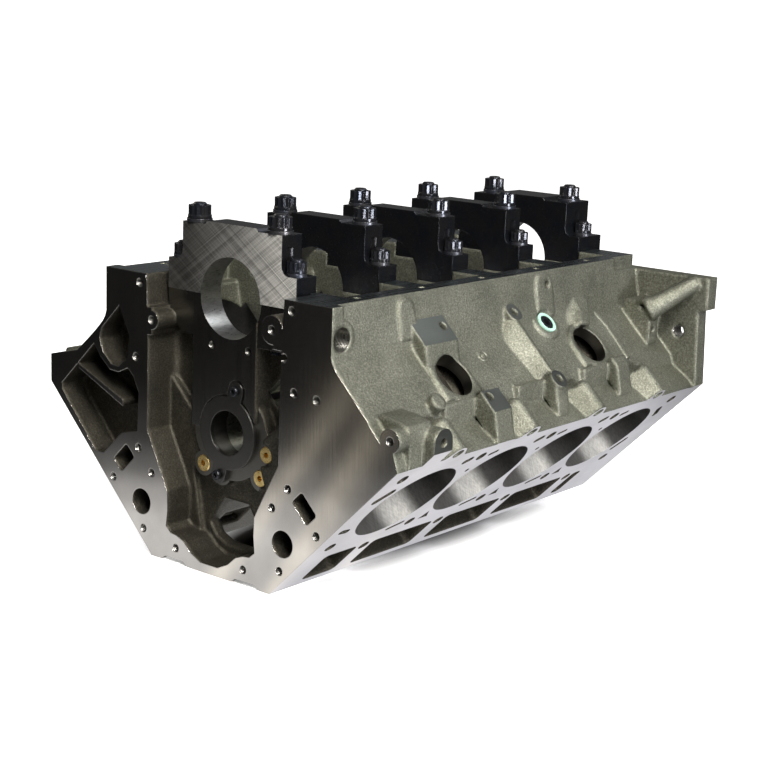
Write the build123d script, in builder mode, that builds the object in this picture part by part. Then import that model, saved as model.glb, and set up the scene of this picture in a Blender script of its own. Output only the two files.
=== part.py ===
from build123d import *
import os
from math import cos, hypot, radians, sin, sqrt, tan

# A bare V8 cylinder block with its five main bearing caps, lying upside down on its deck edges.
# Millimetres. The crankshaft axis is the line x = 0, z = 0, and the timing face is the plane y = 0,
# facing -Y. +Z runs from the decks up to the crankcase, and +X is the forward bank.

# Cylinders and shafts
deck_height = 234.7  # crank axis to deck, along a cylinder
bore_diameter = 104.775
bore_pitch = 111.76
bore_foot = 82  # crank axis to the lower end of a cylinder
first_bore = 78.7  # timing face to the first cylinder of the forward bank
bank_stagger = 24.1  # the other bank sits this much further back
cylinders_per_bank = 4
block_length = 513.6
main_count = 5
first_main = 34.8  # timing face to the first main bearing
main_bore_diameter = 74.6
cam_drop = 124.8  # crank axis to cam axis
cam_bore_diameter = 53.8

# Casting, seen from the front: x across, z up
rail_height = 13.95  # pan rail above the crank axis
rail_outer = 133
rail_inner = 113
rail_bolt_line = 121.5
rail_bolts = 5
skirt_foot_x = 142.2
skirt_foot_z = -35.6
front_half_width = 141.3
crankcase_radius = 100
crankcase_shelf = -8
bulkhead_thickness = 25.8
saddle_half_width = 81
barrel_wall = 7.6
deck_thickness = 12.7
side_draft = 11  # degrees, on everything that stands out from a bank

# Casting, across a bank: v outwards along the deck from the bore line, w along the cylinder
bank_outer = 76
deck_outer = 73
deck_inner = -126.4
skirt_blend = 28  # radius between the crankcase side and the bank wall
ledge_depth = 184
undercut_v = 66.5
undercut_w = 201
panel_face = 190.9  # x of the upright panels under the ledge
panel_foot = -100
panel_length = 54
panel_shift = -10.5  # a panel's middle, from the bolt station above it
rear_fall_start = 452
rear_fall_v = 71
jacket_outer = 67
jacket_shelf = 57  # outer limit of the jacket next to the undercut
jacket_inner = -64
jacket_floor = 126
jacket_end = 64  # past the first and last cylinder centres
bump_radius = 9
bump_line = 78
bump_top = 207
mid_bolt_outer = 56
mid_bolt_inner = -54.5
web_bolt_line = -79
head_bolt_diameter = 12
head_bolt_depth = 40
bump_bolt_depth = 24
head_bolt_column = 10.5

# Pushrod windows and lifter bores on the valley side
window_top = -75
window_bottom = -117.5
window_floor = 172
window_radius = 6
window_web = 22
web_offset = 11  # a window web lies this far behind its cylinder centre
first_window = 34
last_window = 452
valley_slot_low = 182
valley_slot_high = 212
lifter_diameter = 21.4
lifter_line = -88.2
lifter_foot = 100
lifter_spread = 30

# Timing face
front_flange = 15
recess_depth = 39
recess_lower_depth = 35
recess_half_width = 84
bank_wall_left = 30
bank_wall_right = 20
china_wall = 47
strip_left = -47
strip_right = 33
strip_slope = 11
front_cap_face = 21.9
ear_x = 208.1
ear_z = -88.6
ear_radius = 10.5
left_ear_x = 221.9
left_ear_z = -82.6
left_ear_root_x = 182.9
left_ear_root_z = -72.9
water_port_x = 91
water_port_z = -205
water_port_diameter = 24.9
coolant_slot_v = -36.3
coolant_slot_w = 200
coolant_slot_width = 16
coolant_slot_height = 25.5
face_hole_diameter = 8
face_hole_depth = 22
recess_corner = 7
pocket_depth = 28

# Cam retainer, its boss and the plugs in it
boss_face = 25.1
boss_radius = 45.5
plate_thickness = 4.5
plate_radius = 34.6
plate_hole = 42
plate_ear_radius = 8.6
retainer_circle = 42.4
retainer_turn = 14  # degrees that the line through both screws leans from the vertical
screw_head_diameter = 9.4
screw_head_height = 4.4
screw_diameter = 6
screw_length = 18
plug_diameter = 16
plug_length = 12
plug_proud = 1.1
plug_key = 5.2
bearing_width = 19
bearing_inner = 49.5
bearing_fit = 0.03  # radial, so that the bearing shells touch nothing they are pressed into

# Side walls
core_hole_diameter = 41.3
core_hole_depth = 162.5
core_ring_radius = 26
core_ring_proud = 3
mount_plane = 90
mount_first = 148.4
mount_pitch = 111.76
mount_upper = 116
mount_lower = 195
mount_hole = 9.5
mount_boss_radius = 9.5
side_plug_y = 314
side_plug_w = 129
side_plug_diameter = 16
side_plug_boss = 17
side_seal_diameter = 22
side_seal_thickness = 1.6
side_plug_length = 14
port_y = 13
port_z = -15
port_diameter = 21.6
port_ring_radius = 17
second_ear_y = 45.5
second_ear_z = -93.5
second_ear_face = 230
second_ear_radius = 12.4
skirt_pad_proud = 2.6
stub_y = 89
stub_w = 184.5
stub_radius = 8
curtain_x = 218
curtain_top = -75
ring_mark_y = 195
ring_mark_w = 147.5
mark_proud = 1.2
skirt_hole_y = 325.7
skirt_hole_z = 0.7
skirt_hole_diameter = 8
relief_start = 457
relief_depth = 5

# Bell-housing end
flange_face = 496
flange_top = 0.5
flange_half_width = 224.5
flange_step_z = -33
flange_waist = 214.5
rail_end = 502
bell_bolt_x = 193
bell_bolt_z = -59
bell_bolt_diameter = 12.7
strut_end = (173.8, 459.4, -36.2)
strut_root = (207, 496, -7.5)
strut_radius = 12.4
strut_root_radius = 8
strut_ring_radius = 13.7
strut_ring_length = 9
strut_ring_axis = (0.13, 0.84, 0.52)
strut_hole_radius = 8.6
web_face = 457.5
lug_face = 180
lug_width = 17
lug_hole_diameter = 7

# Main caps and their fasteners
cap_top = 64
cap_pad_height = 67
cap_pad_half = 30.5
cap_half_top = 61.7
cap_half_ear = 80
cap_ear_height = 28.6
cap_waist_radius = 9
rear_cap_thickness = 43
stud_inner_x = 50.2
stud_outer_x = 70.6
inner_stud_diameter = 12.7
outer_stud_diameter = 11.1
inner_stud_depth = 45
outer_stud_depth = 36
stud_tip = 2.4
nut_height = 12
outer_nut_height = 10
nut_flange = 3
nut_corner = 21.4
outer_nut_corner = 18.2
washer_thickness = 3
inner_washer_diameter = 23.6
outer_washer_diameter = 18.6
fit_gap = 0.1  # between a stud and its tapped hole, and between like close fits
stud_clearance = 0.4  # between a stud and its cap
cap_shift_front = -2.8  # the first cap's studs, from its bearing centre

# Outlines and places measured on the casting, seen from the front as (x, z) and on a bank's wall as (y, w)
plug_points = [(-33.5, -160.5), (46.5, -137), (39, -160.5)]
face_holes = [(95.85, -153.4), (130.45, -188.7), (77.4, -174.3), (88.0, -230.9), (43.7, -240.4), (95.2, 4.6)]
face_holes_right = [(87.4, -37.6), (100, -66.5), (126.2, -68.3), (ear_x, ear_z), (72.4, -15.2)]
face_holes_left = [(-79.4, -28.6), (-100, -66.5)]
upper_pocket = [
    (-123.3, -21),
    (-148, -46),
    (-151, -56),
    (-145, -70),
    (-134, -79),
    (-124, -79.7),
    (-112, -70),
    (-109, -48),
]
lower_pocket = [
    (-158.5, -62.5),
    (-205.8, -109.1),
    (-205.6, -115.5),
    (-156.2, -168),
    (-145, -168),
    (-120, -144),
    (-97.6, -138),
    (-96, -100),
    (-103, -86),
    (-111, -79),
    (-124, -85),
    (-136, -84.5),
    (-150, -73.5),
]
gusset_foot = [(274, 94), (249, 108), (238, 140), (248, 186), (261, 186), (261, 122), (276, 104)]
gusset_crest = [(265, 103), (257, 108), (255, 127), (255.5, 184), (259.5, 186), (260, 122), (268, 108)]
hood_foot = [(389, 93), (368, 103), (351, 118), (349, 130), (353, 141), (373, 146), (400, 119)]
hood_crest = [(385, 100), (376, 106), (371, 114), (372, 122), (358, 140), (371, 143), (394, 117)]
bank_wall_outline = [
    (121, -48),
    (46, -123),
    (44, -150),
    (52, -172),
    (48, -190),
    (40, -232),
    (80, -250),
    (121, -160),
]
recess_window = [(16, -192), (34, -219), (26, -231), (12, -237)]
strip_holes = [(-22, -45.6), (23.6, -44.8)]
strip_hole_diameter = 7

half = sqrt(0.5)
skirt_slope = (skirt_foot_x - rail_outer) / (rail_height - skirt_foot_z)
last_main = first_main + bore_pitch * (main_count - 1)
barrel_radius = bore_diameter / 2 + barrel_wall
jacket_roof = deck_height - deck_thickness
rear_cap_centre = last_main - bulkhead_thickness / 2 + rear_cap_thickness / 2
bearing_stations = [first_main + bore_pitch * i for i in range(main_count)]
cap_centres = bearing_stations[:-1] + [rear_cap_centre]
stud_stations = [first_main + cap_shift_front] + bearing_stations[1:-1] + [rear_cap_centre]

os.makedirs("parts", exist_ok=True)


def bank_point(v, w):
    """x and z of a point of the +X bank."""
    return ((v + w) * half, (v - w) * half)


def front_plane(y):
    """Plane across the block at y: local x to the right, local y up, seen from the front."""
    return Plane(origin=(0, y, 0), x_dir=(1, 0, 0), z_dir=(0, -1, 0))


def bank_plane(side, w):
    """Plane square to a bank's cylinders at w: local x is y times the side, local y is v."""
    return Plane(
        origin=(side * w * half, 0, -w * half),
        x_dir=(0, side, 0),
        z_dir=(side * half, 0, -half),
    )


def wall_plane(side, v):
    """Plane on a bank's outer wall at v: local x is y times the side, local y runs against w."""
    return Plane(
        origin=(side * v * half, 0, v * half),
        x_dir=(0, side, 0),
        z_dir=(side * half, 0, half),
    )


def stagger(side):
    return 0 if side > 0 else bank_stagger


def bore_centres(side):
    return [first_bore + stagger(side) + bore_pitch * i for i in range(cylinders_per_bank)]


def mid_centres(side):
    """Head-bolt stations: one before the first cylinder and one behind each."""
    centres = bore_centres(side)
    return [centres[0] - bore_pitch / 2] + [y + bore_pitch / 2 for y in centres]


def mirrored(points):
    return points + [(-x, z) for x, z in reversed(points) if x > 0]


def outline(plane, points):
    with BuildSketch(plane) as sketch:
        with BuildLine():
            Polyline(*points, close=True)
        make_face()
    return sketch.sketch


def discs(plane, centres, radius):
    with BuildSketch(plane) as sketch:
        with Locations(*centres):
            Circle(radius)
    return sketch.sketch


def body_section():
    """The casting behind the timing flange: rail, skirt, bank wall, undercut, deck and valley."""
    knee = bank_point(bank_outer, (skirt_foot_x - skirt_foot_z) * half)
    with BuildSketch(front_plane(0)) as section:
        with BuildLine():
            Polyline(
                *mirrored(
                    [
                        (rail_outer, rail_height),
                        knee,
                        bank_point(bank_outer, ledge_depth),
                        bank_point(undercut_v, undercut_w),
                        bank_point(deck_outer, deck_height),
                        bank_point(deck_inner, deck_height),
                        (0, deck_inner / half),
                    ]
                ),
                close=True,
            )
        make_face()
        knees = [v for v in section.vertices() if abs(v.Y - knee[1]) < 0.1 and abs(abs(v.X) - knee[0]) < 0.1]
        fillet(knees, radius=skirt_blend)
    return section.sketch


def timing_face_outline():
    deck_corner = bank_point(deck_outer, deck_height)
    foot = bank_point(deck_inner, deck_height)
    return [
        (front_half_width, rail_height),
        (front_half_width, skirt_foot_z),
        (ear_x - ear_radius, skirt_foot_z - ear_x + ear_radius + front_half_width),
        (ear_x, ear_z),
        deck_corner,
        foot,
        (-foot[0], foot[1]),
        (-left_ear_x, left_ear_x - deck_height / half),
        (-left_ear_x, left_ear_z),
        (-left_ear_root_x, left_ear_root_z),
        (-front_half_width, skirt_foot_z),
        (-front_half_width, rail_height),
    ]


def recess_outline():
    """Inner edge of the machined timing face."""
    return mirrored(
        [
            (recess_half_width + 2.6, rail_height + 1),
            (recess_half_width + 1, -15.5),
            (recess_half_width, -50),
            (recess_half_width, -134),
            (67.6, -165.4),
            (56.3, -188),
            (55.8, -206),
            (57.5, -221.5),
            (51, -227),
            (43, -228),
            (34, -231.5),
            (24, -240.5),
            (11, -246.6),
        ]
    )


def drafted_boss(side, y_from, y_to, w_from, w_to, v_face=mount_plane):
    """A boss on a bank wall: a flat face at v_face from w_from to w_to, then a steep drafted side."""
    root = jacket_outer + 3
    lean = tan(radians(45 - side_draft))
    foot = min(w_to + (v_face - root - 2) / lean, deck_height)
    points = [
        bank_point(v_face, w_from),
        bank_point(v_face, w_to),
        bank_point(v_face - (foot - w_to) * lean, foot),
        bank_point(root, foot),
        bank_point(root, w_from),
    ]
    with BuildPart() as boss:
        extrude(outline(front_plane(y_from), [(side * x, z) for x, z in points]), amount=y_from - y_to)
    return boss.part


def water_jacket(side):
    """Hollow round the cylinder barrels and the head-bolt columns."""
    centres = bore_centres(side)
    y_front = centres[0] - jacket_end
    y_back = centres[-1] + jacket_end
    span = jacket_roof - jacket_floor
    wall = bank_wall_right if side > 0 else bank_wall_left
    with BuildPart() as hollow:
        with BuildSketch(bank_plane(side, jacket_floor)):
            with Locations((side * (y_front + y_back) / 2, (jacket_outer + jacket_inner) / 2)):
                RectangleRounded(y_back - y_front, jacket_outer - jacket_inner, 10)
        extrude(amount=span)
        strip = [
            (side * (y_front - 1), jacket_shelf),
            (side * (y_back + 1), jacket_shelf),
            (side * (y_back + 1), jacket_outer + 1),
            (side * (y_front - 1), jacket_outer + 1),
        ]
        shelf = outline(bank_plane(side, ledge_depth - 2), strip)
        extrude(shelf, amount=span, mode=Mode.SUBTRACT)
        barrels = discs(bank_plane(side, jacket_floor - 1), [(side * y, 0) for y in centres], barrel_radius)
        extrude(barrels, amount=span + 2, mode=Mode.SUBTRACT)
        bolts = [(side * y, v) for y in mid_centres(side) for v in (mid_bolt_outer, mid_bolt_inner)]
        columns = discs(bank_plane(side, jacket_floor - 1), bolts, head_bolt_column)
        extrude(columns, amount=span + 2, mode=Mode.SUBTRACT)
        reach = side * (recess_half_width + 8)
        near = [(0, 0), (reach, 0), (reach, -300), (0, -300)]
        extrude(outline(front_plane(0), near), amount=-(wall + 10), mode=Mode.SUBTRACT)
        low = [(0, 0), (side * 66, 0), (side * 66, -300), (0, -300)]
        extrude(outline(front_plane(0), low), amount=-(recess_lower_depth + 9), mode=Mode.SUBTRACT)
    return hollow.part


def window_spans(side):
    """Start and end of each pushrod window along the deck."""
    webs = [y + web_offset for y in bore_centres(side)]
    starts = [first_window + stagger(side)] + [y + window_web / 2 for y in webs]
    ends = [y - window_web / 2 for y in webs] + [last_window + stagger(side)]
    return list(zip(starts, ends))


def lifter_stations(side):
    spans = window_spans(side)
    middles = [(a + b) / 2 for a, b in spans]
    pairs = [m + d for m in middles[1:-1] for d in (-lifter_spread, lifter_spread)]
    return [middles[0]] + pairs + [middles[-1]]


def deck_slots(side):
    """Coolant passages through the deck, between the cylinders and at both ends."""
    mids = mid_centres(side)
    with BuildSketch(bank_plane(side, deck_height)) as slots:
        for y in mids[1:-1]:
            with Locations(Location((side * (y - 19.5), 55.5), side * 25)):
                SlotOverall(14, 8)
            with Locations(Location((side * (y + 18.5), 56), side * 20)):
                SlotOverall(13, 5)
            with Locations(Location((side * (y - 23), -53), side * 18)):
                SlotOverall(23, 5)
            with Locations((side * (y + 20), -52)):
                RegularPolygon(8, 3, rotation=90)
            with Locations((side * y + side * 2, 32.5)):
                Circle(2.5)
        with Locations(Location((side * (mids[0] - 1), 29), side * 45)):
            SlotOverall(25, 9)
        with Locations(Location((side * (mids[0] - 5.5), -26), side * -10)):
            SlotOverall(15, 7)
        with Locations(Location((side * (mids[-1] + 1), 33), side * -60)):
            SlotOverall(22, 8)
        with Locations(Location((side * (mids[-1] + 1), -29), side * 60)):
            SlotOverall(24, 7)
    return slots.sketch


def deck_bolts(side):
    """Head-bolt holes between the cylinders and in the window webs."""
    mids = [(side * y, v) for y in mid_centres(side) for v in (mid_bolt_outer, mid_bolt_inner)]
    webs = [(side * (y + web_offset), web_bolt_line) for y in bore_centres(side)]
    return mids + webs


def wall_outline(side, v, points):
    """Outline on a bank's outer wall at v, from points given as (y, w) of the +X bank."""
    return outline(wall_plane(side, v), [(side * (y + stagger(side)), -w) for y, w in points])


def lofted_rib(side, v_low, low, v_high, high):
    """A rib with sloping flanks on a bank wall, between its foot and its crest, given as (y, w)."""
    with BuildPart() as rib:
        add(wall_outline(side, v_low, low))
        add(wall_outline(side, v_high, high))
        loft(ruled=True)
    return rib.part


def bank_bosses(side):
    """What stands out from a bank."""
    shift = stagger(side)
    root = wall_plane(side, jacket_outer + 1)
    ring_height = bank_outer + core_ring_proud - jacket_outer - 1
    mark_height = bank_outer + mark_proud - jacket_outer - 1
    first = mount_first + shift
    second = first + mount_pitch
    third = second + mount_pitch
    with BuildPart() as bosses:
        bumps = [(side * y, bump_line) for y in bore_centres(side)]
        extrude(discs(bank_plane(side, bump_top), bumps, bump_radius), amount=deck_height - bump_top)
        x, z = bank_point(bump_line, bump_top)
        with Locations(*[(side * x, y, z) for y in bore_centres(side)]):
            Sphere(bump_radius)
        for y in bore_centres(1):
            foot = [(y - 20, undercut_w - 3), (y + 20, undercut_w - 3), (y + 20, deck_height), (y - 20, deck_height)]
            crest = [(y - 6, bump_top - 2), (y + 6, bump_top - 2), (y + 6, deck_height), (y - 6, deck_height)]
            add(lofted_rib(side, undercut_v - 3, foot, bump_line + bump_radius - 2, crest))
        rings = [(side * mid_centres(side)[i], -core_hole_depth) for i in (1, 3)]
        extrude(discs(root, rings, core_ring_radius), amount=ring_height)
        for x, z in rings:
            foot = [
                (x - core_ring_radius, z),
                (x + core_ring_radius, z),
                (x + core_ring_radius, -ledge_depth),
                (x - core_ring_radius, -ledge_depth),
            ]
            extrude(outline(root, foot), amount=ring_height)
        for y in [mid_centres(side)[i] + panel_shift for i in (1, 2, 3)]:
            x, z = bank_point(bank_outer, ledge_depth)
            face = [(x - 14, z), (panel_face, z), (panel_face, panel_foot), (x - 6, panel_foot)]
            panel = outline(front_plane(y - panel_length / 2), [(side * a, b) for a, b in face])
            extrude(panel, amount=-panel_length)
        add(second_ear(side))
        add(skirt_pad(side, 93 + shift, 116 + shift, -26, 10.5))
        add(skirt_pad(side, 307 + shift, 335 + shift, -30, 12.5))
        extrude(discs(root, [(side * (stub_y + shift), -stub_w)], stub_radius), amount=16)
        plug_boss = [(side * (side_plug_y + shift), -side_plug_w)]
        extrude(discs(root, plug_boss, side_plug_boss), amount=ring_height)
        mark = [(side * (ring_mark_y + shift), -ring_mark_w)]
        extrude(discs(root, mark, 6.8), amount=mark_height)
        extrude(discs(wall_plane(side, bank_outer), mark, 4.6), amount=9, mode=Mode.SUBTRACT)
        extrude(discs(root, mark, 2.4), amount=mark_height)
        bar = [(404, 120), (409, 120), (417, 140), (414.5, 186), (408.5, 186), (410, 146)]
        extrude(wall_outline(side, jacket_outer + 1, bar), amount=mark_height)
        extrude(discs(port_plane(side), [(0, 0)], port_ring_radius), amount=-16)
        add(drafted_boss(side, first - 40, first + 8, mount_upper - 13, mount_upper + 16.5))
        plateau = [(110.5, 131), (156, 131), (158, 163), (110.5, 163)]
        extrude(wall_outline(side, jacket_outer + 1, plateau), amount=ring_height)
        add(drafted_boss(side, first - 7, first + 19, mount_lower - 6.5, mount_lower + 16))
        round_bosses = [(side * second, -mount_upper), (side * second, -mount_lower)]
        extrude(discs(root, round_bosses, mount_boss_radius), amount=mount_plane - jacket_outer - 1)
        add(drafted_boss(side, second - 9, second + 9, mount_lower, mount_lower + 3))
        add(lofted_rib(side, bank_outer - 1, gusset_foot, mount_plane - 0.5, gusset_crest))
        add(lofted_rib(side, bank_outer - 1, hood_foot, mount_plane - 4, hood_crest))
        add(drafted_boss(side, third - 8, third + 14, mount_lower - 9, mount_lower + 2, mount_plane - 2))
    return bosses.part


def port_plane(side):
    return Plane(origin=(side * front_half_width, port_y, port_z), z_dir=(side, 0, 0))


def skirt_pad(side, y_from, y_to, z_low, z_high):
    """A thin raised pad with a round top on the crankcase side wall."""
    x_high = rail_outer + skirt_slope * (rail_height - z_high) + skirt_pad_proud
    x_low = rail_outer + skirt_slope * (rail_height - z_low) + skirt_pad_proud
    reach = 12
    profile = [(x_high, z_high), (x_low, z_low), (x_low - reach, z_low), (x_high - reach, z_high)]
    radius = (y_to - y_from) / 2
    side_view = Plane(origin=(side * (x_high - reach - 5), 0, 0), x_dir=(0, side, 0), z_dir=(side, 0, 0))
    with BuildPart() as pad:
        extrude(outline(front_plane(y_from), [(side * x, z) for x, z in profile]), amount=y_from - y_to)
        with BuildSketch(side_view):
            with Locations((side * (y_from + radius), z_high - radius)):
                Circle(radius)
            with Locations((side * (y_from + radius), (z_low + z_high - radius) / 2)):
                Rectangle(2 * radius, z_high - radius - z_low)
        extrude(amount=reach + 30, mode=Mode.INTERSECT)
    return pad.part


def second_ear(side):
    """The arched ear behind the timing face, with the upright curtain between the two."""
    inner = 190
    side_view = Plane(origin=(side * inner, 0, 0), x_dir=(0, side, 0), z_dir=(side, 0, 0))
    y = second_ear_y + stagger(side)
    corner = bank_point(deck_outer, deck_height)
    curtain = [
        (inner - 6, curtain_top + 3),
        (curtain_x - 12, curtain_top),
        (curtain_x - 3, curtain_top - 2.5),
        (curtain_x, curtain_top - 8),
        (curtain_x, corner[1]),
        (inner - 2, corner[1]),
    ]
    with BuildPart() as ear:
        with BuildSketch(side_view):
            with Locations((side * y, second_ear_z)):
                Circle(second_ear_radius)
            with Locations((side * y, second_ear_z - 20)):
                Rectangle(2 * second_ear_radius, 40)
        extrude(amount=second_ear_face - inner)
        start = front_flange - 1
        extrude(outline(front_plane(start), [(side * a, b) for a, b in curtain]), amount=start - y)
    return ear.part


def starter_strut():
    """The round strut under the bell-housing flange, the ring at its free end and the web below it."""
    direction = tuple(a - b for a, b in zip(strut_root, strut_end))
    length = sqrt(sum(d * d for d in direction))
    open_end = Plane(origin=strut_end, z_dir=strut_ring_axis)
    web = [(144, -44), (176, -76), (lug_face, -69), (lug_face, -38), (164, -26), (150, -26)]
    spine = [(142, -46), (166, -70), (170, -40), (150, -26)]
    with BuildPart() as strut:
        with Locations(Plane(origin=strut_end, z_dir=direction)):
            Cone(strut_radius, strut_root_radius, length + 4, align=(Align.CENTER, Align.CENTER, Align.MIN))
        with BuildSketch(open_end):
            Circle(strut_ring_radius)
        extrude(amount=strut_ring_length)
        extrude(outline(front_plane(web_face), web), amount=-lug_width)
        extrude(outline(front_plane(web_face), spine), amount=web_face - flange_face)
        with BuildSketch(open_end):
            Circle(strut_hole_radius)
        extrude(amount=strut_ring_length + 3, mode=Mode.SUBTRACT)
        lug = Plane(origin=(lug_face, web_face + 7, -56), z_dir=(1, 0, 0))
        extrude(discs(lug, [(0, 0)], lug_hole_diameter / 2), amount=-14, mode=Mode.SUBTRACT)
    return strut.part


def trimmings():
    """Everything beyond the decks and in front of the timing face."""
    everywhere = [(-900, -200), (900, -200), (900, 200), (-900, 200)]
    with BuildPart() as waste:
        for side in (1, -1):
            extrude(outline(bank_plane(side, deck_height), everywhere), amount=80)
        with Locations((0, -30, 0)):
            Box(600, 60, 600)
    return waste.part


def timing_recess():
    """The hollow behind the timing face, round the bank walls, the bulkhead strip and the cam boss."""
    with BuildPart() as hollow:
        extrude(outline(front_plane(0), recess_outline()), amount=-recess_depth)
        floor = hollow.faces().sort_by(Axis.Y)[-1]
        fillet(floor.edges().filter_by(lambda e: e.center().Z < 0), recess_corner)
        for side, wall in ((1, bank_wall_right), (-1, bank_wall_left)):
            bank_wall = outline(front_plane(wall), [(side * x, z) for x, z in bank_wall_outline])
            extrude(bank_wall, amount=wall - recess_depth - 1, mode=Mode.SUBTRACT)
        extrude(discs(front_plane(0), [plug_points[1]], plug_diameter / 2 + 2.5), amount=-boss_face)
        back = recess_depth + 1
        strip = [
            (strip_left, front_cap_face),
            (strip_right, front_cap_face),
            (strip_right + 4, back),
            (strip_left - strip_slope, back),
        ]
        extrude(outline(Plane.XY, strip), amount=-cam_drop, mode=Mode.SUBTRACT)
        saddle = [
            (-saddle_half_width, 0),
            (saddle_half_width, 0),
            (saddle_half_width, -22),
            (saddle_half_width - 18, -40),
            (-saddle_half_width + 18, -40),
            (-saddle_half_width, -22),
        ]
        extrude(outline(front_plane(front_cap_face + 1.5), saddle), amount=-18, mode=Mode.SUBTRACT)
        with BuildSketch(front_plane(boss_face)):
            with Locations((0, -cam_drop)):
                Circle(boss_radius)
            with Locations(*retainer_screw_points()):
                Circle(plate_ear_radius + 2.6)
            with Locations(plug_points[0]):
                Circle(12)
            with Locations(plug_points[1]):
                Circle(17)
            with Locations(plug_points[2]):
                Circle(12.6)
        extrude(amount=boss_face - back, mode=Mode.SUBTRACT)
        with BuildSketch(front_plane(0)):
            with Locations((-79.4, -28.6)):
                Circle(9)
            with Locations((-84, -30)):
                Rectangle(10, 26)
            with Locations((72.4, -15.2)):
                Circle(13)
            with Locations((80, -22)):
                Rectangle(12, 20)
        extrude(amount=-back, mode=Mode.SUBTRACT)
        lower = [(x, z) for x, z in recess_outline() if z < -150]
        ledge = outline(front_plane(recess_lower_depth), lower)
        extrude(ledge, amount=recess_lower_depth - back, mode=Mode.SUBTRACT)
        extrude(outline(front_plane(0), mirrored(recess_window)), amount=-china_wall - 30)
        with BuildSketch(front_plane(0)):
            with Locations((0, -cam_drop)):
                Circle(plate_radius + 1.6)
            with Locations(*retainer_screw_points()):
                Circle(plate_ear_radius + 1.6)
            add(plate_necks(2 * plate_ear_radius + 3.2))
        extrude(amount=-boss_face)
    return hollow.part


def crankcase():
    """Bays between the bulkheads, the cap register, the rails' rear end and the rail's bolt holes."""
    with BuildPart() as hollow:
        for front, back in zip(bearing_stations[:-1], bearing_stations[1:]):
            y = front + bulkhead_thickness / 2
            depth = back - front - bulkhead_thickness
            with BuildSketch(front_plane(y)):
                Circle(crankcase_radius)
                with Locations((0, (rail_height + crankcase_shelf) / 2 + 3)):
                    Rectangle(2 * rail_inner, rail_height - crankcase_shelf + 6)
            extrude(amount=-depth)
        with Locations((0, block_length / 2, rail_height / 2 + 1)):
            Box(2 * saddle_half_width, block_length + 2, rail_height + 2)
        with Locations((0, rail_end + 20, flange_top + 20)):
            Box(2 * rail_outer + 40, 40, 40)
        relief_x = rail_outer + 15 - relief_depth
        for side in (1, -1):
            with Locations((side * relief_x, (relief_start + rail_end) / 2, rail_height - 2)):
                Box(30, rail_end - relief_start, 22)
        rail_holes = [
            (s * rail_bolt_line, first_bore - 24.1 + 91.5 * i) for s in (1, -1) for i in range(rail_bolts)
        ]
        extrude(discs(Plane(origin=(0, 0, rail_height)), rail_holes, 3.6), amount=-20)
        line = discs(front_plane(-1), [(0, 0)], main_bore_diameter / 2)
        extrude(line, amount=-block_length - 2)
        tunnel = discs(front_plane(-1), [(0, -cam_drop)], cam_bore_diameter / 2)
        extrude(tunnel, amount=-block_length - 2)
        for x, stations, diameter, depth in (
            (stud_inner_x, stud_stations, inner_stud_diameter, inner_stud_depth),
            (stud_outer_x, stud_stations, outer_stud_diameter, outer_stud_depth),
        ):
            tapped = discs(Plane.XY, [(s * x, y) for s in (1, -1) for y in stations], diameter / 2 + fit_gap)
            extrude(tapped, amount=-depth)
    return hollow.part


def deck_openings(side):
    """Cylinders, pushrod windows, lifter bores and everything else that opens through the deck."""
    with BuildPart() as hollow:
        centres = [(side * y, 0) for y in bore_centres(side)]
        bores = discs(bank_plane(side, bore_foot), centres, bore_diameter / 2)
        extrude(bores, amount=deck_height - bore_foot + 1)
        with BuildSketch(bank_plane(side, deck_height + 1)) as windows:
            for start, end in window_spans(side):
                with Locations((side * (start + end) / 2, (window_top + window_bottom) / 2)):
                    RectangleRounded(end - start, window_top - window_bottom, window_radius)
        extrude(windows.sketch, amount=window_floor - deck_height - 1)
        for start, end in window_spans(side):
            slot = [
                (side * (start + 3), window_bottom + 5),
                (side * (end - 3), window_bottom + 5),
                (side * (end - 3), deck_inner - 5),
                (side * (start + 3), deck_inner - 5),
            ]
            reach = valley_slot_high - valley_slot_low
            extrude(outline(bank_plane(side, valley_slot_low), slot), amount=reach)
        lifters = [(side * y, lifter_line) for y in lifter_stations(side)]
        extrude(
            discs(bank_plane(side, lifter_foot), lifters, lifter_diameter / 2),
            amount=window_floor - lifter_foot + 1,
        )
        extrude(deck_slots(side), amount=-deck_thickness - 1)
        bolts = discs(bank_plane(side, deck_height + 1), deck_bolts(side), head_bolt_diameter / 2)
        extrude(bolts, amount=-head_bolt_depth)
        bumps = [(side * y, bump_line) for y in bore_centres(side)]
        bolts = discs(bank_plane(side, deck_height + 1), bumps, head_bolt_diameter / 2)
        extrude(bolts, amount=-bump_bolt_depth)
    return hollow.part


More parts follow.
